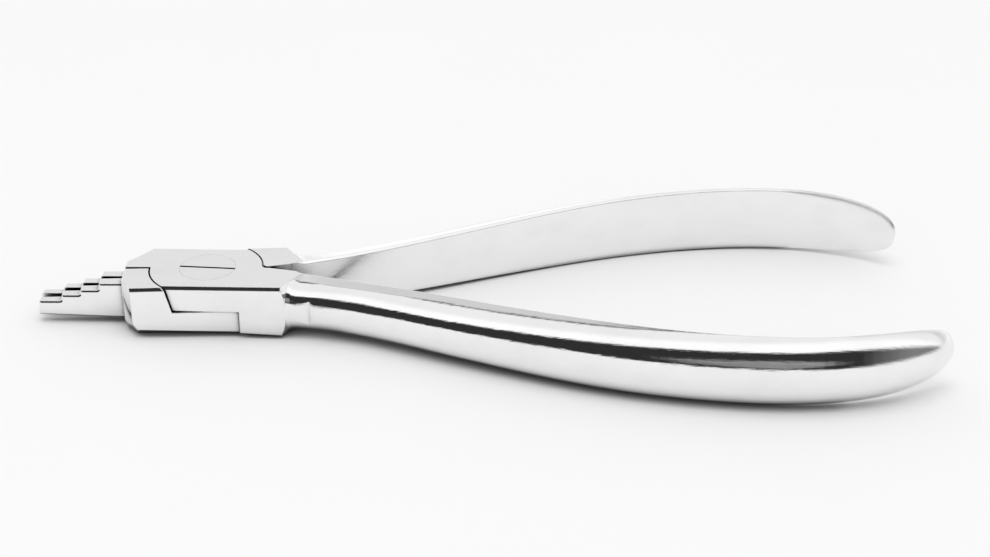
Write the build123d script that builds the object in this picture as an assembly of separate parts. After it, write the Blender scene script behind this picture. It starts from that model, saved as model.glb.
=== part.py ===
from build123d import *
import os
from math import acos, copysign, cos, pi, radians, sin, sqrt, tan

# Loop-forming pliers with stepped beaks, a lap joint and D-section handles, in millimetres.
# +X runs along the tool to the handles, +Z is up, and the origin is on the pivot axis at the
# joint's underside. Each half is drawn with the jaws closed and then turned to its rest angle.
# The upper half has the top plate, the far beak and the near handle. The lower half is the
# same joint and handle turned over about X, with the near beak.

# Joint
joint_thickness = 8.33
joint_half_width = 6.5
side_turn = 1.0               # each half's sides, turned from the closed jaws, in degrees
top_chamfer_width = 0.37
top_chamfer_height = 0.53
bevel_front_height = 1.45     # underside's side bevels, at the nose
bevel_rear_height = 0.34      # and at the rear of the joint
bevel_slope = 0.85            # rise of those bevels over their width
nose_x = 12.5                 # front face, ahead of the pivot
upper_nose_flat = 1.8         # front face's half width, up to its slanted corner
lower_nose_flat = 3.8
upper_nose_shoulder = 9.2     # where the slanted corner reaches the side
lower_nose_shoulder = 11.0
nose_slant_hollow = 0.2       # depth of the slanted corners' hollow grinding
slant_bevel_side = 2.4        # height of the slanted corners' lower bevel at the side
slant_bevel_nose = 1.75       # and at the front face
slant_bevel_reach = 0.7       # along the side, down to slant_bevel_foot
slant_bevel_foot = 1.3
nose_ramp_height = 0.9        # underside's rise to the beaks
nose_ramp_length = 1.3
front_lap_radius = 8.6        # plate's front arc at its outer face
front_lap_lean = 9.0          # lean of that arc's wall, in degrees
rear_lap_radius = 8.2
lap_side_gap = 0.28
lap_face_gap = 0.08
crotch_x = 9.3
crotch_gap = 0.1
crotch_radius = 0.75

# Pivot screw
head_radius = 4.23
head_height = 1.7
bearing_radius = 2.6
thread_radius = 2.1
slot_width = 0.45
slot_depth = 0.6
slot_turn = -6.0
running_clearance = 0.04
thread_clearance = 0.02

# Beaks, with the steps from the tip to the joint
rest_opening = 2.75           # angle between the beaks as the pliers lie, in degrees
closed_gap = 0.06
step_lengths = (3.65, 2.9, 2.9, 3.8)
step_heights = (2.35, 3.5, 4.45, 5.75)
beak_base_tip = 1.5           # underside's height above the joint's underside
beak_base_root = 0.9
beak_width_tip = 1.4
beak_width_root = 1.95
tip_rake = 4.0
riser_fillet = 0.4
step_edge_radius = 0.2
beak_chamfer_width = 0.2
beak_chamfer_height = 0.28

# Handles, as stations along X with the jaws closed
station_x = (crotch_x, 22.1, 40.3, 58.4, 76.6, 92.6)
inner_offset = (0.05, 3.67, 10.63, 17.56, 21.93, 22.17)
half_height = (4.14, 4.22, 4.72, 5.32, 5.58, 5.55)
crown_depth = (6.3, 4.75, 5.0, 4.65, 3.9, 3.4)
crown_centre = (-0.5, 0.0, -0.4, -0.2, -0.8, -1.4)
crown_power = (3.0, 2.3, 2.45, 2.3, 2.1, 2.0)    # how square the crown is, 2 for an ellipse
facet_width = (2.35, 2.3, 1.7, 1.25, 0.55, 0.5)
facet_tilt = (2.0, 9.0, 10.0, 12.0, 16.0, 20.0)
handle_end_x = 109.5
handle_end_offset = 15.4
end_start_x = 88.0            # where the rounded end begins
end_power = 3.0               # how square that end is
end_sections = 24
inner_bevel = 0.42            # from the inner face's edges, each way
block_end_x = 11.9            # rear end of the square joint block
neck_start_x = 12.85          # where the crown has left the block, along its inner face
neck_end_x = 15.0             # and where it has drawn in from the block's sides
neck_flare_width = 3.3
neck_flare_height = 0.9
neck_flare_limit = 1.15
crown_points = 9
section_pitch = 1.2           # between the handle's sections
neck_pitch = 0.6

lap_plane = joint_thickness / 2
beak_tip_x = nose_x + sum(step_lengths)
beyond = 4 * joint_thickness  # reach of a cutting shape past the solids
margin = 1.0                  # and past a single face


def space(x_range, y_range, z_range):
    """A plain box given by its limits."""
    limits = (x_range, y_range, z_range)
    size = [high - low for low, high in limits]
    centre = [(high + low) / 2 for low, high in limits]
    return Pos(*centre) * Box(*size)


def between(stations, values, x):
    """A smooth value at x from a row of stations, level past the last one."""
    if x >= stations[-1]:
        return values[-1]
    i = max(k for k in range(len(stations) - 1) if stations[k] <= max(x, stations[0]))
    share = max(x - stations[i], 0) / (stations[i + 1] - stations[i])
    slopes = []
    for k in (i, i + 1):
        low = max(k - 1, 0)
        high = min(k + 1, len(stations) - 1)
        slopes.append((values[high] - values[low]) / (stations[high] - stations[low]))
    step = stations[i + 1] - stations[i]
    cube = share * share * (3 - 2 * share)
    start = share * (1 - share) ** 2 * step * slopes[0]
    finish = share * share * (share - 1) * step * slopes[1]
    return values[i] + cube * (values[i + 1] - values[i]) + start + finish


def envelope(nose_flat, nose_shoulder):
    """The whole joint's outside, with chamfered top edges and a bevelled underside."""
    side = joint_half_width
    rear = beyond
    middle = ((nose_x + nose_shoulder) / 2, (nose_flat + side) / 2)
    across = (side - nose_flat, nose_x - nose_shoulder)
    share = nose_slant_hollow / sqrt(across[0] ** 2 + across[1] ** 2)
    hollow = (middle[0] - share * across[0], middle[1] - share * across[1])
    plan = Line((-nose_x, -nose_flat), (-nose_x, nose_flat))
    plan += ThreePointArc((-nose_x, nose_flat), (-hollow[0], hollow[1]), (-nose_shoulder, side))
    plan += Polyline((-nose_shoulder, side), (rear, side), (rear, -side), (-nose_shoulder, -side))
    plan += ThreePointArc((-nose_shoulder, -side), (-hollow[0], -hollow[1]), (-nose_x, -nose_flat))
    block = extrude(make_face(plan), joint_thickness)
    top = block.faces().sort_by(Axis.Z)[-1]
    block = chamfer(top.edges().filter_by(Axis.X), top_chamfer_width, top_chamfer_height, reference=top)
    for cut in underside_cuts(nose_flat, nose_shoulder):
        block = split(block, bisect_by=cut, keep=Keep.TOP)
    return block


def through(first, second, third):
    """The plane through three points, facing up."""
    across = Vector(*second) - Vector(*first)
    normal = across.cross(Vector(*third) - Vector(*first))
    if normal.Z < 0:
        normal = -normal
    return Plane(origin=first, x_dir=across, z_dir=normal)


def underside_cuts(nose_flat, nose_shoulder):
    """Planes that bevel the underside: along both sides, at both slanted corners and at the nose."""
    side = joint_half_width
    rear_foot = side - bevel_rear_height / bevel_slope
    left = (-nose_x, -side, nose_ramp_height)
    right = (-nose_x, side, nose_ramp_height)
    cuts = [through(left, right, (nose_ramp_length - nose_x, 0, 0))]
    for s in (-1, 1):
        front = (-nose_shoulder, s * side, bevel_front_height)
        rear = (block_end_x, s * side, bevel_rear_height)
        cuts.append(through(front, rear, (block_end_x, s * rear_foot, 0)))
        shoulder = (-nose_shoulder, s * side, slant_bevel_side)
        nose = (-nose_x, s * nose_flat, slant_bevel_nose)
        foot = (slant_bevel_reach - nose_shoulder, s * side, slant_bevel_foot)
        cuts.append(through(shoulder, nose, foot))
    return cuts


def front_cone(extra):
    """The plate's front arc as a cone that narrows towards the lap plane."""
    height = joint_thickness - lap_plane
    foot = front_lap_radius - height * tan(radians(front_lap_lean))
    return Pos(0, 0, lap_plane + height / 2) * Cone(foot + extra, front_lap_radius + extra, height)


def rear_region(side, radius):
    """Plan behind the rear arc, on one side of the near handle's line, its corner rounded."""
    edge = -crotch_gap / 2
    plan = Pos(beyond / 2, edge + side * beyond / 2) * Rectangle(beyond, beyond)
    plan = plan - Circle(radius)
    corner = plan.vertices().sort_by_distance((radius, edge))[0]
    return fillet(corner, crotch_radius)


def lap_block(outline):
    """The upper half's share of the joint: a plate over the full width and two full corners."""
    top = joint_thickness + margin
    split_line = closed_gap / 2
    front_gone = space((-beyond, 0), (-beyond, split_line), (-margin, top)) - front_cone(0)
    rear_gone = extrude(Pos(0, 0, -margin) * rear_region(1, rear_lap_radius), top + margin)
    lower = lap_plane + lap_face_gap / 2
    foot = front_lap_radius - lap_plane * tan(radians(front_lap_lean))
    turned_cone = turned_over(front_cone(lap_side_gap))
    turned_cone += Pos(0, 0, lap_plane) * Cylinder(foot + lap_side_gap, lap_face_gap)
    front_kept = space((-beyond, 0), (split_line, beyond), (-margin, lower)) - turned_cone
    kept_plan = rear_region(-1, rear_lap_radius + lap_side_gap)
    rear_kept = extrude(Pos(0, 0, -margin) * kept_plan, lower + margin)
    under_plate = space((-beyond, beyond), (-beyond, beyond), (-margin, lower)) - front_kept - rear_kept
    return outline - front_gone - rear_gone - under_plate


def handle_section(x, curve_point, tangent, scale):
    """The D-section at one station: flat inner side, two narrow facets and an oval crown."""
    flare = min(max(neck_end_x - x, 0) / (neck_end_x - neck_start_x), neck_flare_limit)
    tilt = radians(between(station_x, facet_tilt, x))
    height = between(station_x, half_height, x) * scale + neck_flare_height * flare ** 2
    depth = between(station_x, crown_depth, x) * scale + neck_flare_width * flare ** 6
    centre = between(station_x, crown_centre, x) * scale
    width = between(station_x, facet_width, x) * scale + neck_flare_width * flare ** 3
    power = between(station_x, crown_power, x)
    crease = (width * cos(tilt), height - width * sin(tilt))
    across = depth - centre
    share = (crease[0] - centre) / across
    upright = crease[1] / (1 - share ** power) ** (1 / power)
    start = acos(share ** (power / 2))
    bevel = inner_bevel * scale
    facet_start = (bevel * cos(tilt), height - bevel * sin(tilt))
    crown = []
    for k in range(crown_points):
        angle = start * (1 - 2 * k / (crown_points - 1))
        rise = abs(sin(angle)) ** (2 / power)
        crown.append((centre + across * cos(angle) ** (2 / power), copysign(upright * rise, angle)))
    outline = Polyline((0, height - bevel), facet_start, crease)
    outline += Spline(*crown)
    lower_facet = [(crease[0], -crease[1]), (facet_start[0], -facet_start[1]), (0, bevel - height)]
    outline += Polyline(*lower_facet, (0, height - bevel))
    outward = Vector(tangent.Y, -tangent.X, 0)
    return Plane(curve_point, x_dir=outward, z_dir=tangent) * make_face(outline)


def spaced(start, stop, pitch):
    """Values from start up to stop, which is left out, at about the given pitch."""
    count = round((stop - start) / pitch)
    return [start + (stop - start) * k / count for k in range(count)]


def handle():
    """The near handle, lofted along the line of its flat inner face."""
    points = [(x, -y, lap_plane) for x, y in zip(station_x, inner_offset)]
    line = Spline(*points, (handle_end_x, -handle_end_offset, lap_plane))
    first_x = neck_end_x - neck_flare_limit * (neck_end_x - neck_start_x)
    stations = [crotch_x] + spaced(first_x, neck_end_x, neck_pitch)
    stations += spaced(neck_end_x, end_start_x, section_pitch)
    end_length = handle_end_x - end_start_x
    for k in range(end_sections + 1):
        stations.append(end_start_x + end_length * sin(pi / 2 * k / (end_sections + 1)))
    sections = []
    for x in stations:
        share = max(x - end_start_x, 0) / end_length
        scale = (1 - share ** end_power) ** (1 / end_power)
        crossing = line.intersect(Plane((x, 0, 0), z_dir=(1, 0, 0)))
        place = line.param_at_point(crossing[0])
        sections.append(handle_section(x, line.position_at(place), line.tangent_at(place), scale))
    return loft(sections, ruled=True)


def beak():
    """The upper half's beak: a stepped bar with a flat inner face, drawn from the side."""
    def base(x):
        share = (-x - nose_x) / (beak_tip_x - nose_x)
        return beak_base_root + share * (beak_base_tip - beak_base_root)

    inside = nose_ramp_length - nose_x
    x = -beak_tip_x
    fronts = []
    feet = []
    outline = [(x, base(x))]
    for i, (length, height) in enumerate(zip(step_lengths, step_heights)):
        top = base(x + length / 2) + height
        if i > 0:
            feet.append(outline[-1])
        fronts.append((x + height * tan(radians(tip_rake)) if i == 0 else x, top))
        x += length
        outline += [fronts[-1], (x, top)]
    outline[-1] = (inside, top)
    outline.append((inside, base(-nose_x)))
    profile = make_face(Polyline(*outline, close=True))
    inner_corners = [profile.vertices().sort_by_distance((px, pz, 0))[0] for px, pz in feet]
    profile = fillet(inner_corners, riser_fillet)
    bar = extrude(Plane.XZ * profile, -beyond)
    split_line = closed_gap / 2
    inner_side = [(-beyond, split_line), (inside, split_line)]
    outer_side = [(inside, beak_width_root), (-nose_x, beak_width_root), (-beak_tip_x, beak_width_tip)]
    plan = Polyline(*inner_side, *outer_side, (-beyond, beak_width_tip), close=True)
    bar = bar & extrude(make_face(plan), joint_thickness)
    outer = bar.faces().sort_by(Axis.Y)[-2:].sort_by(Axis.X)[0]
    rim = [edge for edge in outer.edges() if edge.center().X < -nose_x]
    bar = chamfer(rim, beak_chamfer_height, beak_chamfer_width, reference=outer)
    middle = (split_line + beak_width_tip) / 2
    step_edges = [bar.edges().sort_by_distance((px, middle, pz))[0] for px, pz in fronts]
    return fillet(step_edges, step_edge_radius)


def half(outline):
    """The upper half without its beak: the lap block with the handle growing out of it."""
    outline = Rot(0, 0, -side_turn) * outline
    grip = handle()
    across = (-beyond, beyond)
    neck_limit = neck_end_x + margin
    joint = lap_block(outline) & space((-beyond, crotch_x), across, across)
    neck = grip & outline & space((crotch_x, neck_limit), across, across)
    free = grip & space((neck_limit, handle_end_x + beyond), across, across)
    return joint + neck + free


def turned_over(shape):
    """The shape turned half a turn about X, through the joint's middle plane."""
    return Pos(0, 0, joint_thickness) * Rot(180, 0, 0) * shape


def upper_half():
    """The top plate with the far beak and the near handle, bored for the screw."""
    body = half(envelope(upper_nose_flat, upper_nose_shoulder)) + beak()
    seat_depth = head_height + running_clearance
    counterbore = Cylinder(head_radius + running_clearance, seat_depth)
    body -= Pos(0, 0, joint_thickness - seat_depth / 2) * counterbore
    body -= Pos(0, 0, joint_thickness / 2) * Cylinder(bearing_radius + running_clearance, beyond)
    return Rot(0, 0, -rest_opening / 2) * body


def lower_half():
    """The bottom plate with the near beak and the far handle, tapped for the screw."""
    outline = turned_over(envelope(lower_nose_flat, lower_nose_shoulder))
    body = turned_over(half(outline)) + mirror(beak(), Plane.XZ)
    body -= Cylinder(thread_radius + thread_clearance, beyond)
    return Rot(0, 0, rest_opening / 2) * body


def pivot_screw():
    """Slotted screw, flush at both ends: head, shoulder seated on the lower plate, threaded end."""
    seat = lap_plane - lap_face_gap / 2
    under_head = joint_thickness - head_height
    screw = Pos(0, 0, (under_head + joint_thickness) / 2) * Cylinder(head_radius, head_height)
    screw += Pos(0, 0, (seat + under_head) / 2) * Cylinder(bearing_radius, under_head - seat)
    screw += Pos(0, 0, seat / 2) * Cylinder(thread_radius, seat)
    slot = Box(beyond, slot_width, 2 * slot_depth)
    return screw - Pos(0, 0, joint_thickness) * Rot(0, 0, slot_turn) * slot


pieces = {
    "upper_half": upper_half(),
    "lower_half": lower_half(),
    "pivot_screw": pivot_screw(),
}
os.makedirs("parts", exist_ok=True)
for name, solid in pieces.items():
    export_step(solid, f"parts/{name}.step")
    print(name, round(solid.volume, 1), solid.is_valid, len(solid.solids()))
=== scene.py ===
import math

import bpy
import numpy as np
from bpy.props import FloatProperty, FloatVectorProperty, PointerProperty
from bpy.types import NodeSocket, Operator, Panel, PropertyGroup
from mathutils import Matrix, Vector

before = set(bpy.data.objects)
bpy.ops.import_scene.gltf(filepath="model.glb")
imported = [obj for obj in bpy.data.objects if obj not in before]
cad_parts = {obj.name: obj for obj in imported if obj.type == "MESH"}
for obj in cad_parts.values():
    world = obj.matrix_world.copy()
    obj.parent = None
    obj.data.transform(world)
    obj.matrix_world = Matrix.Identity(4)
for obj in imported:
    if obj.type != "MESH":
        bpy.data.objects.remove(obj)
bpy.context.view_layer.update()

bl_info = {
    "name": "Loop-forming pliers",
    "version": (1, 0, 0),
    "blender": (4, 5, 0),
    "location": "3D View > Sidebar > Pliers",
    "description": "Finishes stepped loop-forming pliers in steel and lays them on a pale table",
    "category": "Object",
}

HALVES = ("upper_half", "lower_half")
SCREW = "pivot_screw"
SCREW_TONE = 0.985  # brightness of the screw's steel against the halves'

# Marks of hand polishing: noise over the steel in metres, drawn out along X by its stretch.
STREAK_NOISE = {"stretch": (0.08, 1.0, 1.0), "scale": 2500.0, "detail": 4.0}
RIPPLE_NOISE = {"stretch": (0.3, 1.0, 1.0), "scale": 260.0, "detail": 2.0}
SMUDGE_NOISE = {"stretch": (0.5, 1.0, 1.0), "scale": 190.0, "detail": 6.0}
NOISE_ROUGHNESS = 0.6
SMUDGE_LEVELS = (0.4, 0.72)  # noise values at which a smudge begins and is full
SMUDGED_COLOUR = 0.955  # share of the clean steel's colour
SMUDGED_ROUGHNESS = 1.8  # times the clean steel's roughness
STREAK_HEIGHT = 0.00003  # in metres
LAPPED_FADE = 0.006  # length over which the handles' polish sets in, in metres

EDGE_SAMPLES = 6
NECK_FADE = 2.5  # distance from a neck at which its blend has ended, times neck_blend
END_LENGTH = 10.0  # length over which a handle's end rounding sets in, times end_blend
SEAM_CLEAR = 3.0  # radius from which no painted seam shade is drawn, times edge_radius

# Painted shade, darkening seams, the hollows at the joint and the table under the pliers.
# Openness is 1 in the open and near 0 deep in a corner.
OPENNESS_SAMPLES = 8
SEAM_OPENNESS = (0.55, 0.9)  # where painted shade fills a seam, and where it has ended
SEAM_SHADE_GREY = 0.03
HOLLOW_OPENNESS = (0.3, 0.75)  # where a hollow's painted shade is darkest, and where it has ended
HOLLOW_SHADE = 0.45
CONTACT_OPENNESS = (0.1, 0.45)  # where the contact shadow is darkest, and where it has ended
CONTACT_SHARE = 0.3  # share of the table's colour left there
CONTACT_COLOUR = 0.05

# What the steel mirrors, by the angle in degrees round the X axis: 0 is the horizon on the
# camera's side, 90 is straight up and 180 the far horizon. A brightness of 1 is white.
SKY_STOPS = (
    (-90.0, 0.9),
    (-6.0, 0.9),
    (-2.0, 0.03),
    (45.5, 0.03),
    (51.0, 1.12),
    (72.0, 1.12),
    (88.0, 0.94),
    (121.0, 0.94),
    (125.0, 0.66),
    (138.0, 0.7),
    (144.0, 0.84),
    (162.0, 0.84),
    (170.0, 1.12),
    (180.0, 1.12),
)
# A pale broken patch in the dark part: an ellipse round an angle and a direction along X.
PATCH = {"angle": 14.0, "half_angle": 12.0, "centre": 0.08, "half_width": 0.42, "value": 0.4}
PATCH_EDGE = (1.0, 0.25)  # squared distance from its middle at which it has ended and is full
PATCH_NOISE = {"stretch": (0.5, 6.0, 1.0), "scale": 4.0, "detail": 3.0}
PATCH_BREAKS = (0.35, 0.65)  # noise values at which it is broken and whole
PATCH_BROKEN = 0.35  # share of it left where it is broken
# A narrow dark strip past the top, which draws the crease along the handles.
STRIP = {"angle": 123.0, "inner": 2.0, "outer": 3.8, "reach": 0.3, "fade": 0.42, "value": 0.2}
# The least brightness in directions that run along +X, where the handles' ends look.
END_GREY = {"from": 0.45, "to": 0.85, "value": 0.22}

FLOOR_COUNT = 41  # points along each side of the table top
FLOOR_GRAIN = 30.0  # scale of its faint mottling
FLOOR_MOTTLE = 0.99  # the darker mottling's share of its colour
HANDLES_FROM = 0.02  # X in metres beyond which the lowest point of a half is on its handle
FLAT_DEPTH = 0.00001  # in metres, within which points belong to the flat underside

SENSOR_WIDTH = 36.0  # in millimetres
CLIP_START = 0.01  # in metres


class SteelSettings(PropertyGroup):
    colour: FloatVectorProperty(
        name="Steel colour", description="Reflected colour of the polished steel",
        subtype="COLOR", size=3, min=0.0, max=1.0, default=(0.9, 0.9, 0.902))
    roughness: FloatProperty(
        name="Roughness", description="Roughness of the mirror polish",
        default=0.045, min=0.0, max=1.0, subtype="FACTOR")
    polish_depth: FloatProperty(
        name="Polish marks", description="Strength of the fine marks that polishing leaves",
        default=0.5, min=0.0, max=1.0, subtype="FACTOR")
    lapped_share: FloatProperty(
        name="Marks on the joint",
        description="Share of those marks left on the joint and beaks, which are lapped",
        default=0.1, min=0.0, max=1.0, subtype="FACTOR")
    lapped_end: FloatProperty(
        name="Lapped end",
        description="Where the lapped faces end and the handles' polish begins, along X",
        default=0.013, min=0.0, subtype="DISTANCE", unit="LENGTH", precision=5)
    ripple_height: FloatProperty(
        name="Ripple height", description="Height of the long ripples that hand polishing leaves",
        default=0.000022, min=0.0, max=0.0001, subtype="DISTANCE", unit="LENGTH", precision=6)
    edge_radius: FloatProperty(
        name="Edge radius", description="Radius to which polishing has worn the edges",
        default=0.00018, min=0.0, max=0.001, subtype="DISTANCE", unit="LENGTH", precision=5)
    neck_place: FloatProperty(
        name="Neck place", description="Where the necks are blended into the joint, along X",
        default=0.0158, min=0.0, subtype="DISTANCE", unit="LENGTH", precision=5)
    neck_blend: FloatProperty(
        name="Neck blend", description="Radius of that blend",
        default=0.0014, min=0.0, max=0.01, subtype="DISTANCE", unit="LENGTH", precision=5)
    neck_height: FloatProperty(
        name="Neck height", description="Height up to which that blend reaches",
        default=0.0062, subtype="DISTANCE", unit="LENGTH", precision=5)
    end_place: FloatProperty(
        name="End place", description="Where the rounding of the handles' ends begins, along X",
        default=0.088, min=0.0, subtype="DISTANCE", unit="LENGTH", precision=5)
    end_blend: FloatProperty(
        name="End blend", description="Radius of that rounding",
        default=0.0012, min=0.0, max=0.01, subtype="DISTANCE", unit="LENGTH", precision=5)
    # The hollow reach and hollow end set where painted shade darkens the steel in the hollows
    # near the joint.
    hollow_reach: FloatProperty(
        name="Hollow reach", description="Width of the hollows at the joint that look darker",
        default=0.006, min=0.0, max=0.05, subtype="DISTANCE", unit="LENGTH", precision=5)
    hollow_end: FloatProperty(
        name="Hollow end", description="How far those hollows reach along X",
        default=0.024, min=0.0, subtype="DISTANCE", unit="LENGTH", precision=5)
    # The seam reach sets how far the painted seam shade spreads; the dark residue in its
    # description is that painted shade.
    seam_reach: FloatProperty(
        name="Seam reach", description="How far dark residue shows from the bottom of a seam",
        default=0.0014, min=0.0, max=0.01, subtype="DISTANCE", unit="LENGTH", precision=5)


class StageSettings(PropertyGroup):
    azimuth: FloatProperty(
        name="Azimuth", description="Direction of the camera round the pliers",
        default=math.radians(-1.279), subtype="ANGLE", unit="ROTATION")
    elevation: FloatProperty(
        name="Elevation", description="Height of the camera above the horizon",
        default=math.radians(27.477), subtype="ANGLE", unit="ROTATION")
    roll: FloatProperty(
        name="Roll", description="Turn of the camera about its own axis",
        default=math.radians(0.258), subtype="ANGLE", unit="ROTATION")
    distance: FloatProperty(
        name="Distance", description="From the camera to the point it looks at",
        default=0.28085, min=0.05, subtype="DISTANCE", unit="LENGTH")
    target: FloatVectorProperty(
        name="Target", description="Point that the camera looks at", size=3,
        subtype="TRANSLATION", unit="LENGTH", default=(0.043872, 0.011825, 0.0))
    focal_length: FloatProperty(
        name="Focal length", description="Lens of the camera, in millimetres",
        default=63.71, min=10.0, subtype="DISTANCE_CAMERA", unit="CAMERA")
    floor_colour: FloatVectorProperty(
        name="Floor colour", description="Colour of the table top", subtype="COLOR", size=3,
        min=0.0, max=1.0, default=(0.962, 0.962, 0.962))
    background: FloatProperty(
        name="Background", description="Brightness of the backdrop, where 1 is white",
        default=0.955, min=0.0, max=1.0, subtype="FACTOR")
    lamp_height: FloatProperty(
        name="Lamp height", description="Height of the soft lamp over the table",
        default=1.6, min=0.2, subtype="DISTANCE", unit="LENGTH")
    lamp_forward: FloatProperty(
        name="Lamp forward", description="How far the soft lamp hangs towards the camera's side",
        default=0.25, subtype="DISTANCE", unit="LENGTH")
    lamp_width: FloatProperty(
        name="Lamp width", description="Width of the soft lamp",
        default=1.4, min=0.05, subtype="DISTANCE", unit="LENGTH")
    lamp_share: FloatProperty(
        name="Lamp share",
        description="Share of the table's light that comes from the lamp, the rest being sky",
        default=0.25, min=0.0, max=1.0, subtype="FACTOR")
    contact_reach: FloatProperty(
        name="Contact reach",
        description="How far the dark contact shadow spreads over the table",
        default=0.0034, min=0.0, max=0.05, subtype="DISTANCE", unit="LENGTH", precision=5)
    floor_reach: FloatProperty(
        name="Floor reach", description="Half the width of the table top",
        default=1.2, min=0.2, subtype="DISTANCE", unit="LENGTH")


def mesh_object(name, points, faces):
    """A mesh object from an array of points and an array of faces."""
    mesh = bpy.data.meshes.new(name)
    mesh.from_pydata(points.reshape(-1, 3).tolist(), [], faces.tolist())
    mesh.update()
    obj = bpy.data.objects.new(name, mesh)
    bpy.context.scene.collection.objects.link(obj)
    return obj


def grid_faces(rows, columns):
    """Quads joining each point of a rows by columns grid to its next neighbours."""
    corner = (np.arange(rows - 1)[:, None] * columns + np.arange(columns - 1)).ravel()
    return np.stack([corner, corner + 1, corner + columns + 1, corner + columns], axis=1)


def floor_points(reach, rests):
    """Grid over x and y; z is the plane a x + b y + c through three points of rest."""
    line = np.linspace(-reach, reach, FLOOR_COUNT)
    x, y = np.meshgrid(line, line, indexing="xy")
    known = np.array([[rest[0], rest[1], 1.0] for rest in rests])
    a, b, c = np.linalg.solve(known, np.array([rest[2] for rest in rests]))
    return np.stack([x, y, a * x + b * y + c], axis=-1)


def node_points(node):
    """The vertices of a CAD node, one row each."""
    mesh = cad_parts[node].data
    points = np.empty(len(mesh.vertices) * 3)
    mesh.vertices.foreach_get("co", points)
    return points.reshape(-1, 3)


def handle_rest(node):
    """The lowest point of a half's handle, on which it lies."""
    points = node_points(node)
    handle = points[points[:, 0] > HANDLES_FROM]
    return handle[np.argmin(handle[:, 2])]


def joint_rest(node):
    """The foremost point of a half's flat underside ahead of the pivot."""
    points = node_points(node)
    ahead = points[points[:, 0] < 0.0]
    flat = ahead[ahead[:, 2] < ahead[:, 2].min() + FLAT_DEPTH]
    return flat[np.argmin(flat[:, 0])]


def new_material(name):
    """An empty node material, its tree and its output node."""
    material = bpy.data.materials.new(name)
    material.use_nodes = True
    tree = material.node_tree
    tree.nodes.clear()
    return material, tree, tree.nodes.new("ShaderNodeOutputMaterial")


def opaque(colour, share=1.0):
    """A colour of three channels times a share, as a colour socket takes it."""
    return (*[channel * share for channel in colour], 1.0)


def grey(value):
    """A plain grey, as a colour socket takes it."""
    return opaque((value, value, value))


def feed(tree, given, socket):
    """Links an output to the socket, or sets the socket to a plain value."""
    if isinstance(given, NodeSocket):
        tree.links.new(given, socket)
    else:
        socket.default_value = given


def calculate(tree, operation, *given):
    """The result of a Math node on outputs or numbers."""
    node = tree.nodes.new("ShaderNodeMath")
    node.operation = operation
    for value, socket in zip(given, node.inputs):
        feed(tree, value, socket)
    return node.outputs[0]


def remap(tree, value, before, after=(0.0, 1.0), smooth=False, clamp=True):
    """The value carried from one range to another, evenly or with smooth ends."""
    node = tree.nodes.new("ShaderNodeMapRange")
    node.interpolation_type = "SMOOTHSTEP" if smooth else "LINEAR"
    node.clamp = clamp
    tree.links.new(value, node.inputs["Value"])
    for name, number in zip(("From Min", "From Max", "To Min", "To Max"), (*before, *after)):
        node.inputs[name].default_value = number
    return node.outputs["Result"]


def mix_colours(tree, share, first, second, blend="MIX"):
    """The first colour where the share is 0 and its blend with the second where it is 1."""
    node = tree.nodes.new("ShaderNodeMix")
    node.data_type = "RGBA"
    node.blend_type = blend
    feed(tree, share, node.inputs["Factor"])
    feed(tree, first, node.inputs["A"])
    feed(tree, second, node.inputs["B"])
    return node.outputs["Result"]


def split(tree, vector):
    """The X, Y and Z outputs of a vector."""
    node = tree.nodes.new("ShaderNodeSeparateXYZ")
    tree.links.new(vector, node.inputs[0])
    return tuple(node.outputs)


def openness(tree, reach):
    """1 on an open surface, falling towards 0 where other surfaces lie within reach."""
    node = tree.nodes.new("ShaderNodeAmbientOcclusion")
    node.samples = OPENNESS_SAMPLES
    node.inputs["Distance"].default_value = reach
    return node.outputs["AO"]


def stretched_noise(tree, vector, stretch, scale, detail):
    """Noise whose coordinates are multiplied by stretch, so a small number draws it out."""
    drawn = tree.nodes.new("ShaderNodeVectorMath")
    drawn.operation = "MULTIPLY"
    drawn.inputs[1].default_value = stretch
    noise = tree.nodes.new("ShaderNodeTexNoise")
    noise.inputs["Detail"].default_value = detail
    noise.inputs["Roughness"].default_value = NOISE_ROUGHNESS
    noise.inputs["Scale"].default_value = scale
    tree.links.new(vector, drawn.inputs[0])
    tree.links.new(drawn.outputs[0], noise.inputs["Vector"])
    return noise.outputs["Fac"]


def bump(tree, height, distance, strength, normal):
    """The normal tilted by a pattern of height."""
    node = tree.nodes.new("ShaderNodeBump")
    node.inputs["Distance"].default_value = distance
    feed(tree, strength, node.inputs["Strength"])
    tree.links.new(height, node.inputs["Height"])
    tree.links.new(normal, node.inputs["Normal"])
    return node.outputs["Normal"]


def polish_marks_group():
    """Marks of hand polishing: fine streaks along X, long low ripples and patches of smudge."""
    group = bpy.data.node_groups.new("polish_marks", "ShaderNodeTree")
    group.interface.new_socket("Vector", in_out="INPUT", socket_type="NodeSocketVector")
    for name in ("Streaks", "Ripples", "Smudge"):
        group.interface.new_socket(name, in_out="OUTPUT", socket_type="NodeSocketFloat")
    place = group.nodes.new("NodeGroupInput").outputs["Vector"]
    marks = group.nodes.new("NodeGroupOutput").inputs
    smudge = stretched_noise(group, place, **SMUDGE_NOISE)
    group.links.new(stretched_noise(group, place, **STREAK_NOISE), marks["Streaks"])
    group.links.new(stretched_noise(group, place, **RIPPLE_NOISE), marks["Ripples"])
    group.links.new(remap(group, smudge, SMUDGE_LEVELS, smooth=True), marks["Smudge"])
    return group


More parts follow.
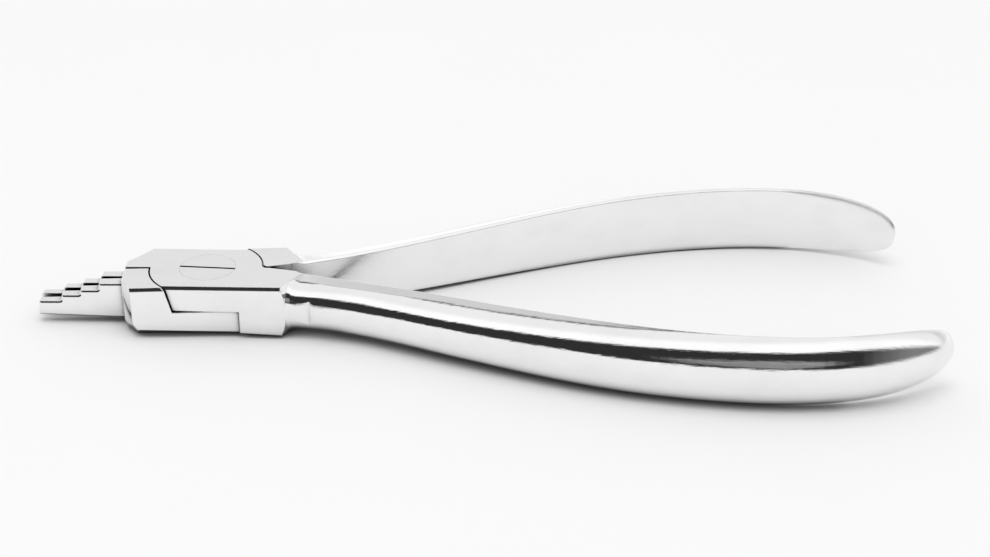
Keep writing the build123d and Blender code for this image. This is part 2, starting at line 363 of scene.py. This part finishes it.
def blend_radius(tree, settings, x, z):
    """Edge radius: the worn edges' own, and a larger one at the necks and the handles' ends."""
    blend, worn = settings.neck_blend, settings.edge_radius
    distance = calculate(tree, "ABSOLUTE", calculate(tree, "SUBTRACT", x, settings.neck_place))
    neck = remap(tree, distance, (blend, NECK_FADE * blend), (blend, worn), smooth=True)
    top = settings.neck_height
    low = remap(tree, z, (top, top - blend / 2.0), smooth=True)
    low_neck = calculate(tree, "MAXIMUM", calculate(tree, "MULTIPLY", neck, low), worn)
    start, rounding = settings.end_place, settings.end_blend
    end = remap(tree, x, (start, start + END_LENGTH * rounding), (0.0, rounding), smooth=True)
    return calculate(tree, "MAXIMUM", low_neck, end)


def steel_colour(tree, settings, tone, smudge, radius, x):
    """The steel's colour with its smudges, and painted shade in the hollows at the joint and in
    the seams.
    """
    smudged = mix_colours(tree, smudge, opaque(settings.colour, tone),
                          opaque(settings.colour, tone * SMUDGED_COLOUR))
    # Painted shade: the steel's colour is darkened in the hollows between the necks, fading out
    # along X towards hollow_end.
    hollow = remap(tree, openness(tree, settings.hollow_reach), HOLLOW_OPENNESS,
                   (HOLLOW_SHADE, 1.0))
    by_joint = remap(tree, x, (settings.hollow_end, settings.hollow_end - settings.hollow_reach),
                     smooth=True)
    shaded = mix_colours(tree, by_joint, smudged, hollow, blend="MULTIPLY")
    worn = settings.edge_radius
    # Painted shade in the seams: the colour falls to a near-black grey deep in a seam, but not
    # where the edge radius is wide.
    clear = calculate(tree, "MAXIMUM",
                      remap(tree, openness(tree, settings.seam_reach), SEAM_OPENNESS),
                      remap(tree, radius, (worn, SEAM_CLEAR * worn)))
    return mix_colours(tree, clear, grey(SEAM_SHADE_GREY), shaded)


def steel_normal(tree, settings, marks, radius, x):
    """Worn edges, then ripples, then streaks, which nearly vanish on the lapped faces."""
    edges = tree.nodes.new("ShaderNodeBevel")
    edges.samples = EDGE_SAMPLES
    tree.links.new(radius, edges.inputs["Radius"])
    rippled = bump(tree, marks.outputs["Ripples"], settings.ripple_height, 1.0,
                   edges.outputs["Normal"])
    full = settings.polish_depth
    strength = remap(tree, x, (settings.lapped_end, settings.lapped_end + LAPPED_FADE),
                     (full * settings.lapped_share, full))
    return bump(tree, marks.outputs["Streaks"], STREAK_HEIGHT, strength, rippled)


def steel_material(name, settings, tone=1.0):
    """Mirror-polished stainless steel: worn edges, polishing marks, smudges, and painted shade in
    the seams and the hollows at the joint.
    """
    material, tree, output = new_material(name)
    place = tree.nodes.new("ShaderNodeTexCoord").outputs["Object"]
    x, _, z = split(tree, place)
    marks = tree.nodes.new("ShaderNodeGroup")
    marks.node_tree = bpy.data.node_groups.get("polish_marks") or polish_marks_group()
    tree.links.new(place, marks.inputs["Vector"])
    smudge = marks.outputs["Smudge"]
    radius = blend_radius(tree, settings, x, z)
    shader = tree.nodes.new("ShaderNodeBsdfPrincipled")
    shader.inputs["Metallic"].default_value = 1.0
    tree.links.new(steel_colour(tree, settings, tone, smudge, radius, x),
                   shader.inputs["Base Color"])
    clean = settings.roughness
    tree.links.new(remap(tree, smudge, (0.0, 1.0), (clean, SMUDGED_ROUGHNESS * clean)),
                   shader.inputs["Roughness"])
    tree.links.new(steel_normal(tree, settings, marks, radius, x), shader.inputs["Normal"])
    tree.links.new(shader.outputs["BSDF"], output.inputs["Surface"])
    return material


def finish_node(node, material):
    """Gives every face of a CAD node one finish."""
    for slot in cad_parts[node].material_slots:
        slot.material = material


class PLIERS_OT_halves(Operator):
    """Finish both halves in mirror-polished stainless steel"""
    bl_idname = "pliers.halves"
    bl_label = "Polish the halves"

    def execute(self, context):
        material = steel_material("polished_steel", context.scene.pliers_steel)
        for node in HALVES:
            finish_node(node, material)
        return {"FINISHED"}


class PLIERS_OT_screw(Operator):
    """Finish the pivot screw in ground and polished stainless steel"""
    bl_idname = "pliers.screw"
    bl_label = "Polish the pivot screw"

    def execute(self, context):
        finish_node(SCREW, steel_material("screw_steel", context.scene.pliers_steel, SCREW_TONE))
        return {"FINISHED"}


def window(tree, source, centre, inner, outer):
    """1 where the source lies within inner of the centre, and falling to 0 at outer."""
    distance = calculate(tree, "ABSOLUTE", calculate(tree, "SUBTRACT", source, centre))
    return remap(tree, distance, (outer, inner), smooth=True)


def squared_offset(tree, source, centre, half):
    """((source - centre) / half) squared."""
    offset = remap(tree, source, (centre, centre + half), clamp=False)
    return calculate(tree, "MULTIPLY", offset, offset)


def patch_share(tree, across, angle):
    """1 inside the pale patch's ellipse and 0 outside it, broken by long streaks."""
    distance = calculate(
        tree, "ADD",
        squared_offset(tree, across, PATCH["centre"], PATCH["half_width"]),
        squared_offset(tree, angle, math.radians(PATCH["angle"]),
                       math.radians(PATCH["half_angle"])))
    inside = remap(tree, distance, PATCH_EDGE, smooth=True)
    place = tree.nodes.new("ShaderNodeCombineXYZ")
    tree.links.new(across, place.inputs["X"])
    tree.links.new(angle, place.inputs["Y"])
    streaks = stretched_noise(tree, place.outputs[0], **PATCH_NOISE)
    whole = remap(tree, streaks, PATCH_BREAKS, (PATCH_BROKEN, 1.0))
    return calculate(tree, "MULTIPLY", inside, whole)


def strip_share(tree, across, angle):
    """1 on the narrow dark strip and 0 beside it."""
    by_angle = window(tree, angle, math.radians(STRIP["angle"]), math.radians(STRIP["inner"]),
                      math.radians(STRIP["outer"]))
    return calculate(tree, "MULTIPLY", by_angle,
                     window(tree, across, 0.0, STRIP["reach"], STRIP["fade"]))


def sky_ramp(tree, angle, brightest):
    """The brightness of SKY_STOPS at an angle in radians, as a share of the brightest."""
    first, last = SKY_STOPS[0][0], SKY_STOPS[-1][0]
    ramp = tree.nodes.new("ShaderNodeValToRGB")
    elements = ramp.color_ramp.elements
    while len(elements) < len(SKY_STOPS):
        elements.new(1.0)
    for element, (degree, value) in zip(elements, SKY_STOPS):
        element.position = (degree - first) / (last - first)
        element.color = grey(value / brightest)
    tree.links.new(remap(tree, angle, (math.radians(first), math.radians(last))),
                   ramp.inputs["Fac"])
    return ramp.outputs["Color"]


def studio_colour(tree, brightest):
    """What the steel mirrors; the angle is atan2(z, -y), so 0 is the camera's side."""
    direction = tree.nodes.new("ShaderNodeTexCoord").outputs["Generated"]
    across, y, z = split(tree, direction)
    angle = calculate(tree, "ARCTAN2", z, calculate(tree, "MULTIPLY", y, -1.0))
    colour = mix_colours(tree, patch_share(tree, across, angle),
                         sky_ramp(tree, angle, brightest), grey(PATCH["value"] / brightest))
    colour = mix_colours(tree, strip_share(tree, across, angle), colour,
                         grey(STRIP["value"] / brightest))
    least = remap(tree, across, (END_GREY["from"], END_GREY["to"]),
                  (0.0, END_GREY["value"] / brightest))
    return mix_colours(tree, 1.0, colour, least, blend="LIGHTEN")


def background_shader(tree, colour, strength=1.0):
    """The light of one part of the world."""
    node = tree.nodes.new("ShaderNodeBackground")
    feed(tree, colour, node.inputs["Color"])
    node.inputs["Strength"].default_value = strength
    return node.outputs[0]


def mix_shaders(tree, share, first, second):
    """The first shader where the share is 0 and the second where it is 1."""
    node = tree.nodes.new("ShaderNodeMixShader")
    for given, socket in zip((share, first, second), node.inputs):
        tree.links.new(given, socket)
    return node.outputs[0]


def studio_world(background, fill):
    """Plain white for the camera, the studio for reflections, and a plain fill for the rest."""
    world = bpy.data.worlds.new("studio")
    bpy.context.scene.world = world
    world.use_nodes = True
    tree = world.node_tree
    tree.nodes.clear()
    brightest = max(value for _, value in SKY_STOPS)
    sky = background_shader(tree, studio_colour(tree, brightest), brightest)
    path = tree.nodes.new("ShaderNodeLightPath")
    mirrored = calculate(tree, "MAXIMUM", path.outputs["Is Glossy Ray"],
                         path.outputs["Is Transmission Ray"])
    lit = mix_shaders(tree, mirrored, background_shader(tree, grey(fill)), sky)
    seen = mix_shaders(tree, path.outputs["Is Camera Ray"], lit,
                       background_shader(tree, grey(background)))
    output = tree.nodes.new("ShaderNodeOutputWorld")
    tree.links.new(seen, output.inputs["Surface"])


def soft_lamp(settings):
    """A round lamp above and a little forward, which the steel doesn't mirror.

    The disc gives the table share = radiance * seen * slant squared, where seen is the part of
    the sky that it would fill straight above and slant the cosine squared of its slope. Its power
    is pi squared * radius squared * radiance.
    """
    radius = settings.lamp_width / 2
    seen = radius ** 2 / (radius ** 2 + settings.lamp_height ** 2)
    slant = settings.lamp_height ** 2 / (settings.lamp_height ** 2 + settings.lamp_forward ** 2)
    data = bpy.data.lights.new("soft_lamp", "AREA")
    data.shape = "DISK"
    data.size = settings.lamp_width
    data.energy = settings.lamp_share / (seen * slant ** 2) * math.pi ** 2 * radius ** 2
    lamp = bpy.data.objects.new("soft_lamp", data)
    x, y, _ = settings.target
    lamp.location = (x, y - settings.lamp_forward, settings.lamp_height)
    lamp.visible_glossy = False
    bpy.context.scene.collection.objects.link(lamp)


def floor_material(settings):
    """Matt white table top, faintly mottled, with a painted contact shadow where the pliers touch
    it.
    """
    material, tree, output = new_material("table_top")
    grain = tree.nodes.new("ShaderNodeTexNoise")
    grain.inputs["Scale"].default_value = FLOOR_GRAIN
    tree.links.new(tree.nodes.new("ShaderNodeTexCoord").outputs["Object"],
                   grain.inputs["Vector"])
    colour = mix_colours(tree, grain.outputs["Fac"], opaque(settings.floor_colour),
                         opaque(settings.floor_colour, FLOOR_MOTTLE))
    # Painted shadow: the table's colour darkens towards a near-black grey where the pliers close
    # it in.
    contact = remap(tree, openness(tree, settings.contact_reach), CONTACT_OPENNESS,
                    (CONTACT_SHARE, 1.0))
    shader = tree.nodes.new("ShaderNodeBsdfDiffuse")
    tree.links.new(mix_colours(tree, contact, grey(CONTACT_COLOUR), colour),
                   shader.inputs["Color"])
    tree.links.new(shader.outputs[0], output.inputs["Surface"])
    return material


def photo_camera(settings):
    """The camera at the photograph's place, from its azimuth, elevation, roll and distance."""
    a, e, r = settings.azimuth, settings.elevation, settings.roll
    back = Vector((math.sin(a) * math.cos(e), -math.cos(a) * math.cos(e), math.sin(e)))
    level = Vector((math.cos(a), math.sin(a), 0.0))
    upright = back.cross(level)
    right = level * math.cos(r) + upright * math.sin(r)
    up = upright * math.cos(r) - level * math.sin(r)
    data = bpy.data.cameras.new("camera")
    data.sensor_width = SENSOR_WIDTH
    data.lens = settings.focal_length
    data.clip_start = CLIP_START
    camera = bpy.data.objects.new("camera", data)
    bpy.context.scene.collection.objects.link(camera)
    place = Vector(settings.target) + back * settings.distance
    turn = Matrix((right, up, back)).transposed().to_4x4()
    camera.matrix_world = Matrix.Translation(place) @ turn
    bpy.context.scene.camera = camera


class PLIERS_OT_stage(Operator):
    """Lay the pliers on a pale table in soft light, seen from the photograph's angle"""
    bl_idname = "pliers.stage"
    bl_label = "Set the stage"

    def execute(self, context):
        settings = context.scene.pliers_stage
        rests = [handle_rest(node) for node in HALVES]
        rests.append(joint_rest("lower_half"))
        points = floor_points(settings.floor_reach, rests)
        floor = mesh_object("table_top", points, grid_faces(*points.shape[:2]))
        floor.data.materials.append(floor_material(settings))
        studio_world(settings.background, 1.0 - settings.lamp_share)
        soft_lamp(settings)
        photo_camera(settings)
        context.scene.view_settings.view_transform = "Standard"
        return {"FINISHED"}


class PLIERS_PT_panel(Panel):
    """Steps that finish and show the pliers"""
    bl_label = "Pliers"
    bl_idname = "PLIERS_PT_panel"
    bl_space_type = "VIEW_3D"
    bl_region_type = "UI"
    bl_category = "Pliers"

    def draw(self, context):
        for step in STEPS:
            self.layout.operator(step.bl_idname)


STEPS = (PLIERS_OT_halves, PLIERS_OT_screw, PLIERS_OT_stage)
CLASSES = (SteelSettings, StageSettings, *STEPS, PLIERS_PT_panel)


def register():
    for cls in CLASSES:
        bpy.utils.register_class(cls)
    bpy.types.Scene.pliers_steel = PointerProperty(type=SteelSettings)
    bpy.types.Scene.pliers_stage = PointerProperty(type=StageSettings)


def unregister():
    del bpy.types.Scene.pliers_stage
    del bpy.types.Scene.pliers_steel
    for cls in reversed(CLASSES):
        bpy.utils.unregister_class(cls)


def main():
    register()
    bpy.ops.pliers.halves()
    bpy.ops.pliers.screw()
    bpy.ops.pliers.stage()


if __name__ == "__main__":
    main()
